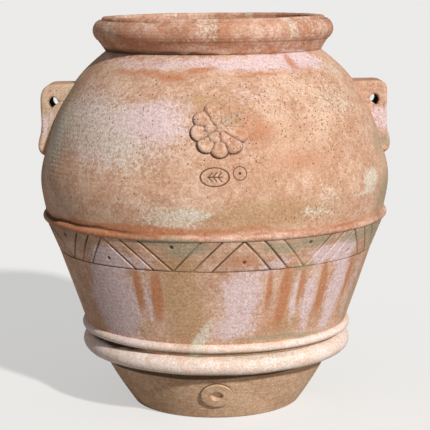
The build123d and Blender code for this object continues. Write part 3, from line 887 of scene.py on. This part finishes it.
class JAR_OT_rim(bpy.types.Operator):
    """Neck ring, rolled rim and lip bead"""
    bl_idname = "jar.rim"
    bl_label = "Rim"

    def execute(self, context):
        columns = azimuths(spacing=0.5)

        def rim_relief(azimuth, height):
            """Lumps of two sizes and finger lines, fading out towards the neck crease."""
            fingers = 0.22 * np.sin(2 * np.pi * height / 6.5 + 3 * lumps(azimuth, height, 200, 8))
            rough = 0.8 * lumps(azimuth, height, 90, 9) + 0.3 * lumps(azimuth, height, 20, 10)
            return (rough + fingers - 1.2) * step(NECK_HEIGHT, 745, height)

        def rim_rust(azimuth, height):
            """Iron stain in patches where the lumps are high."""
            return 0.55 * step(-0.1, 0.7, lumps(azimuth, height, 45, 12))

        def rim_lime(azimuth, height):
            """Lime in flat patches on the upper half of the rim."""
            return 0.5 * step(0.1, 0.8, lumps(azimuth, height * 2.2, 40, 13)) * step(750, 765, height)

        def flank_painted_shade(azimuth, height):
            """Painted shade under the rim, on the left and behind."""
            return 0.62 * step(749, 734, height) * step(30, -25, azimuth) * step(-175, -150, azimuth)

        def bead_relief(azimuth, height):
            """Lumps of two sizes."""
            return 0.5 * lumps(azimuth, height, 70, 14) + 0.25 * lumps(azimuth, height, 16, 15) - 0.8

        def inside_rust(azimuth, height):
            """Iron stain all over the inside, uneven by the lumps."""
            return 0.5 + 0.3 * lumps(azimuth, height, 50, 16)

        patches = {"rust": rim_rust, "lime": rim_lime, "grime_and_shade": flank_painted_shade}
        arc = three_point_arc((236.0, 752.0), (246.5, 770.0), (234.0, 793.5), 26)
        outer = np.vstack([line((220.5, NECK_HEIGHT), arc[0], 10, end=False), arc,
                           line((232.5, 793.0), (228.2, 789.5), 4)])
        hidden = [(227, 786), (216, 786), (214, 729)]
        roll = ring_piece("clay_rim_roll", outer, hidden, columns, rim_relief, stains=patches)
        finish(roll, "rim_terracotta", "rim_roll")

        outside, inside, corner, low = 228.0, 204.0, 6.0, 786.5
        outer = np.vstack([line((outside, low), (outside, 792), 4),
                           arc_points((outside - corner, TOP_HEIGHT - corner), corner, 0, 90, 9),
                           line((220, TOP_HEIGHT), (212, TOP_HEIGHT), 5),
                           arc_points((inside + corner, TOP_HEIGHT - corner), corner, 90, 180, 9),
                           line((inside, 792), (inside, low), 4)])
        hidden = [(209, 784), (210, 780), (222, 780), (224, 784)]
        bead = ring_piece("clay_lip_bead", outer, hidden, columns, bead_relief, stains=patches)
        finish(bead, "rim_terracotta", "lip_bead")

        outer = line((206, 786), (196, 739.6), 16)
        hidden = [(206, 732), (215, 729), (217, 760), (217, 786)]
        ring = ring_piece("clay_neck_ring", outer, hidden, columns, rim_relief, stains={"rust": inside_rust})
        finish(ring, "rim_terracotta", "neck_ring")
        return {"FINISHED"}


class JAR_OT_handles(bpy.types.Operator):
    """The two strap handles and the pads under their lower ends"""
    bl_idname = "jar.handles"
    bl_label = "Handles"

    def execute(self, context):
        size = sizes()
        # Guide points as (distance from the axis, height). The two straps differ only at their corners.
        start = ((275, 666), (298, 666.7))
        corners = {"left": ((317, 666.6), (332, 665), (345, 657.5), (352, 643)),
                   "right": ((318, 666.8), (334.5, 666.6), (348.6, 661), (352.9, 646))}
        end = ((352.9, 628), (352.8, 618), (352.6, 612), (352.5, 606), (352.4, 600), (352.3, 594),
               (352.4, 577.5))
        strap_in = ((286, 626), (302, 626.8), (315, 628.3), (319, 635.4), (326, 638.8), (332, 635.2),
                    (334.5, 628), (332, 620.8), (326.5, 617.2), (319.3, 620.3), (314.6, 628.9), (304, 627.5),
                    (313, 577.5))
        pad_out = ((352.6, 580), (354, 568), (357, 556), (359, 546), (358.8, 535), (354.5, 525),
                   (347.5, 519.3))
        pad_in = ((322, 580), (324, 568), (326, 556), (327, 546), (330, 535), (333, 525), (338, 519.3))
        strap_half, pad_half = in_mm(size.handle_width) / 2, in_mm(size.pad_width) / 2
        for side, mirror in (("left", -1), ("right", 1)):
            strap_out = start + corners[side] + end
            forms = (("handle", strap_out, strap_in, strap_half, 6.5, 0.0),
                     ("handle_pad", pad_out, pad_in, pad_half, 8.0, 12.0))
            for form, out, inside, half_width, rounding, closing in forms:
                piece = self.strap(f"clay_{side}_{form}", out, inside, half_width, rounding, closing, mirror)
                finish(piece, "wall_terracotta", f"{side}_{form}")
        return {"FINISHED"}

    def strap(self, name, out, inside, half_width, rounding, closing, mirror):
        """Strap carried along a path: at each step the section is a rounded rectangle between an outer
        and an inner guide line, each a natural cubic through its guide points. The last closing mm
        narrow in a quarter circle."""
        rows, thickness_steps, width_steps = 90, 22, 6
        knots = np.arange(len(out))
        share = np.linspace(0, len(out) - 1, rows)
        guides = []
        for points in (np.array(out, float), np.array(inside, float)):
            first, last = points[1] - points[0], points[-1] - points[-2]
            guides.append(np.stack([clamped_cubic(knots, points[:, k], (first[k], last[k]), share)
                                    for k in (0, 1)], 1))
        outer, inner = guides
        centre, half = (outer + inner) / 2, (outer - inner) / 2
        thick = np.hypot(*half.T)[:, None]
        normal = half / thick
        to_end = outer[:, 1:] - outer[-1, 1]
        into = np.clip(closing - to_end, 0, closing)
        width = half_width - closing + np.sqrt(np.clip(closing**2 - into**2, 0, None))
        corner = np.minimum(rounding, 0.96 * thick)

        # Section points, u across the strap's thickness and v across its width: each corner's quarter
        # circle, then the straight side to the next corner.
        quarter = np.radians(np.linspace(4, 86, 7))
        u, v = [], []
        for sx, sy, start in ((1, 1, 0), (-1, 1, 90), (-1, -1, 180), (1, -1, 270)):
            turn = quarter[None, :] + math.radians(start)
            u.append(sx * (thick - corner) + corner * np.cos(turn))
            v.append(sy * (width - corner) + corner * np.sin(turn))
            through = sx * sy > 0
            span = np.linspace(0, 1, thickness_steps if through else width_steps)[None, 1:-1]
            nx, ny = (-sx, sy) if through else (sx, -sy)
            next_turn = quarter[0] + math.radians(start + 90)
            last_u = nx * (thick - corner) + corner * math.cos(next_turn)
            last_v = ny * (width - corner) + corner * math.sin(next_turn)
            first_u, first_v = u[-1][:, -1:], v[-1][:, -1:]
            u.append(first_u + (last_u - first_u) * span)
            v.append(first_v + (last_v - first_v) * span)
        u, v = np.hstack(u), np.hstack(v)

        x = centre[:, :1] + normal[:, :1] * u
        z = centre[:, 1:] + normal[:, 1:] * u
        dent = (0.5 * lumps(v * 0.4 + 90 * mirror, z + x * 0.5, 24, 41) - 0.5) * np.sign(u)
        x, z = x + normal[:, :1] * dent, z + normal[:, 1:] * dent
        v = v - 0.4 * np.sign(v) * (1 + lumps(x, z, 20, 42))
        grid = np.stack([mirror * x, v, z], -1)
        piece = mesh_piece(name, grid, around=False, poles=[grid[0].mean(0), grid[-1].mean(0)])
        blush = 1.1 * np.exp(-((z - 590) / 28) ** 2) * step(310, 336, x) * (0.75 + 0.5 * lumps(x, z, 30, 43))
        # Painted shade inside the eye of the strap.
        eye_shade = (np.abs(v) < width - 6) & (u < 0) & (x > 316) & (z > 612) & (z < 642)
        weather(piece, np.ones(grid.shape[:2]), {"bloom": blush, "grime_and_shade": 0.8 * eye_shade})
        return piece


class JAR_OT_flower(bpy.types.Operator):
    """The flower sprig: outer petals, inner petals and button"""
    bl_idname = "jar.flower"
    bl_label = "Flower"

    def execute(self, context):
        size = sizes()
        rise, rise_in = in_mm(size.petal_rise), in_mm(size.inner_petal_rise)
        around = np.radians(np.linspace(0, 360, 480, endpoint=False))[None, :]
        worn = 1 - 0.42 * step(0.2, 1.0, np.cos(around - math.radians(WORN_SIDE)))
        off, outline = lobes(around, *OUTER_PETALS)
        off_in, outline_in = lobes(around, *INNER_PETALS)
        cup_reach = 35.0

        def relief_piece(name, node, inner, outline, height, rows, dirt):
            """Disc or ring of relief: rows run outwards over the top, down the edge and back under. Painted
            shade fills the cracks away from the worn side, where the top is lower than six tenths of the
            outer petals' rise, and darkens the edge and the underside."""
            share = np.sin(np.linspace(0, np.pi / 2, rows))[:, None]
            reach = inner + (outline - inner) * share
            top = height(reach, share)
            foot = np.full_like(outline, -3.0)
            reach = np.vstack([reach, outline, outline * 0.6, np.full_like(outline, max(inner, 2.0))])
            out = np.vstack([top, foot, foot, foot])
            grid = on_wall(FLOWER_AZIMUTH, FLOWER_HEIGHT, reach * np.cos(around), reach * np.sin(around), out)
            piece = mesh_piece(name, grid)
            stain = np.zeros(grid.shape[:2])
            stain[:rows] = dirt(reach[:rows])
            lowest = 0.6 * rise * (1 - 0.3 * (1 - worn))
            # Painted shade in the cracks, then down the edge and under the petals.
            petal_crack_shade = 0.9 * np.clip(1 - top / lowest, 0, 1) * step(0.65, 0.95, worn)
            edge = np.full((3, grid.shape[1]), 0.95)
            weather(piece, np.ones(grid.shape[:2]), {"rust": stain, "grime_and_shade": np.vstack([petal_crack_shade, edge])})
            finish(piece, "wall_terracotta", node)

        def crumble(reach, seed):
            """Crumbs 4 mm across that grow towards the worn side."""
            return (1.05 - worn) * 3.4 * crumbs(reach, around, 4, seed)

        def petals(reach, share):
            """Domes that fall off at the outline and at the creases between petals, less a cup pressed
            into each, a bell of the distance from its middle. They are lower on the worn side."""
            side = np.abs(off) * OUTER_PETALS[0] / np.pi
            dome = np.clip(1 - share**14, 0, 1) ** 0.5 * (1 - 0.72 * side**3.5)
            cup = 2.8 * np.exp(-(((reach - cup_reach) / 9)**2 + (reach * off / 5.5)**2))
            return worn * (rise * dome - cup) + 0.4 * crumbs(reach, around, 9, 31) + crumble(reach, 32) - 0.6

        def petal_dirt(reach):
            """Iron stain in the cups."""
            return 0.6 * np.exp(-(((reach - cup_reach) / 8)**2 + (reach * off / 5)**2))

        def inner_petals(reach, share):
            """The same kind of dome, rounder, with a scored crease beside the middle of each petal."""
            side = np.abs(off_in) * INNER_PETALS[0] / np.pi
            dome = np.clip(1 - share**6, 0, 1) ** 0.5 * (1 - 0.5 * side**3.5)
            scored = step(14, 18, reach) * (1 - step(24, 28, reach))
            crease = 1.2 * np.exp(-((reach * off_in - 1.5) / 1.3)**2) * scored
            return (0.3 + 0.7 * worn) * (rise_in * dome - crease) + crumble(reach, 33) - 0.4

        def inner_dirt(reach):
            """Iron stain along the creases."""
            return 0.3 * np.exp(-((reach * off_in - 1.5) / 3)**2)

        relief_piece("clay_outer_petals", "rosette_outer_petals", 16.0, outline, petals, 46, petal_dirt)
        relief_piece("clay_inner_petals", "rosette_inner_petals", 7.5, outline_in, inner_petals, 30,
                     inner_dirt)
        self.button(around, in_mm(size.button_rise) - 0.5)
        return {"FINISHED"}

    def button(self, around, top):
        """Flattened ball, slightly three-sided, set in the wall: its reach is the sine of the angle from
        the top, and from its waist its full radius, and its drop is one less the cosine."""
        radius, drop, unevenness = 9.4, 7.5, 0.25
        angle = np.linspace(0.06, np.pi * 0.62, 22)[:, None]
        reach = radius * np.sin(np.minimum(angle, np.pi / 2)) * np.ones_like(around)
        out = top - drop * (1 - np.cos(angle)) + unevenness * np.sin(3 * around + 1) * np.sin(angle)
        grid = on_wall(FLOWER_AZIMUTH, FLOWER_HEIGHT, reach * np.cos(around), reach * np.sin(around), out)
        poles = [on_wall(FLOWER_AZIMUTH, FLOWER_HEIGHT, np.zeros(1), np.zeros(1), np.array([level]))[0]
                 for level in (top, float(out[-1].mean()))]
        button = mesh_piece("clay_flower_button", grid, around=False, poles=poles)
        weather(button, np.ones(grid.shape[:2]))
        finish(button, "wall_terracotta", "rosette_button")


class JAR_PT_panel(bpy.types.Panel):
    """Lists the jar's operators and settings"""
    bl_label = "Clay Jar"
    bl_idname = "JAR_PT_panel"
    bl_space_type = "VIEW_3D"
    bl_region_type = "UI"
    bl_category = "Clay Jar"

    def draw(self, context):
        for operator in OPERATORS:
            self.layout.operator(operator.bl_idname)
        for group in (context.scene.jar_sizes, context.scene.jar_colours):
            box = self.layout.box()
            for name in group.__annotations__:
                box.prop(group, name)


OPERATORS = (JAR_OT_stage, JAR_OT_foot, JAR_OT_walls, JAR_OT_rolls, JAR_OT_rim, JAR_OT_handles, JAR_OT_flower)
CLASSES = (JarSizes, JarColours) + OPERATORS + (JAR_PT_panel,)


def register():
    """Registers the classes and hangs their settings on the scene."""
    for each in CLASSES:
        bpy.utils.register_class(each)
    bpy.types.Scene.jar_sizes = bpy.props.PointerProperty(type=JarSizes)
    bpy.types.Scene.jar_colours = bpy.props.PointerProperty(type=JarColours)


def unregister():
    """Takes the settings and the classes away again."""
    del bpy.types.Scene.jar_sizes
    del bpy.types.Scene.jar_colours
    for each in reversed(CLASSES):
        bpy.utils.unregister_class(each)


def main():
    """Builds the stage and the jar."""
    register()
    bpy.ops.jar.stage()
    bpy.ops.jar.foot()
    bpy.ops.jar.walls()
    bpy.ops.jar.rolls()
    bpy.ops.jar.rim()
    bpy.ops.jar.handles()
    bpy.ops.jar.flower()


if __name__ == "__main__":
    main()
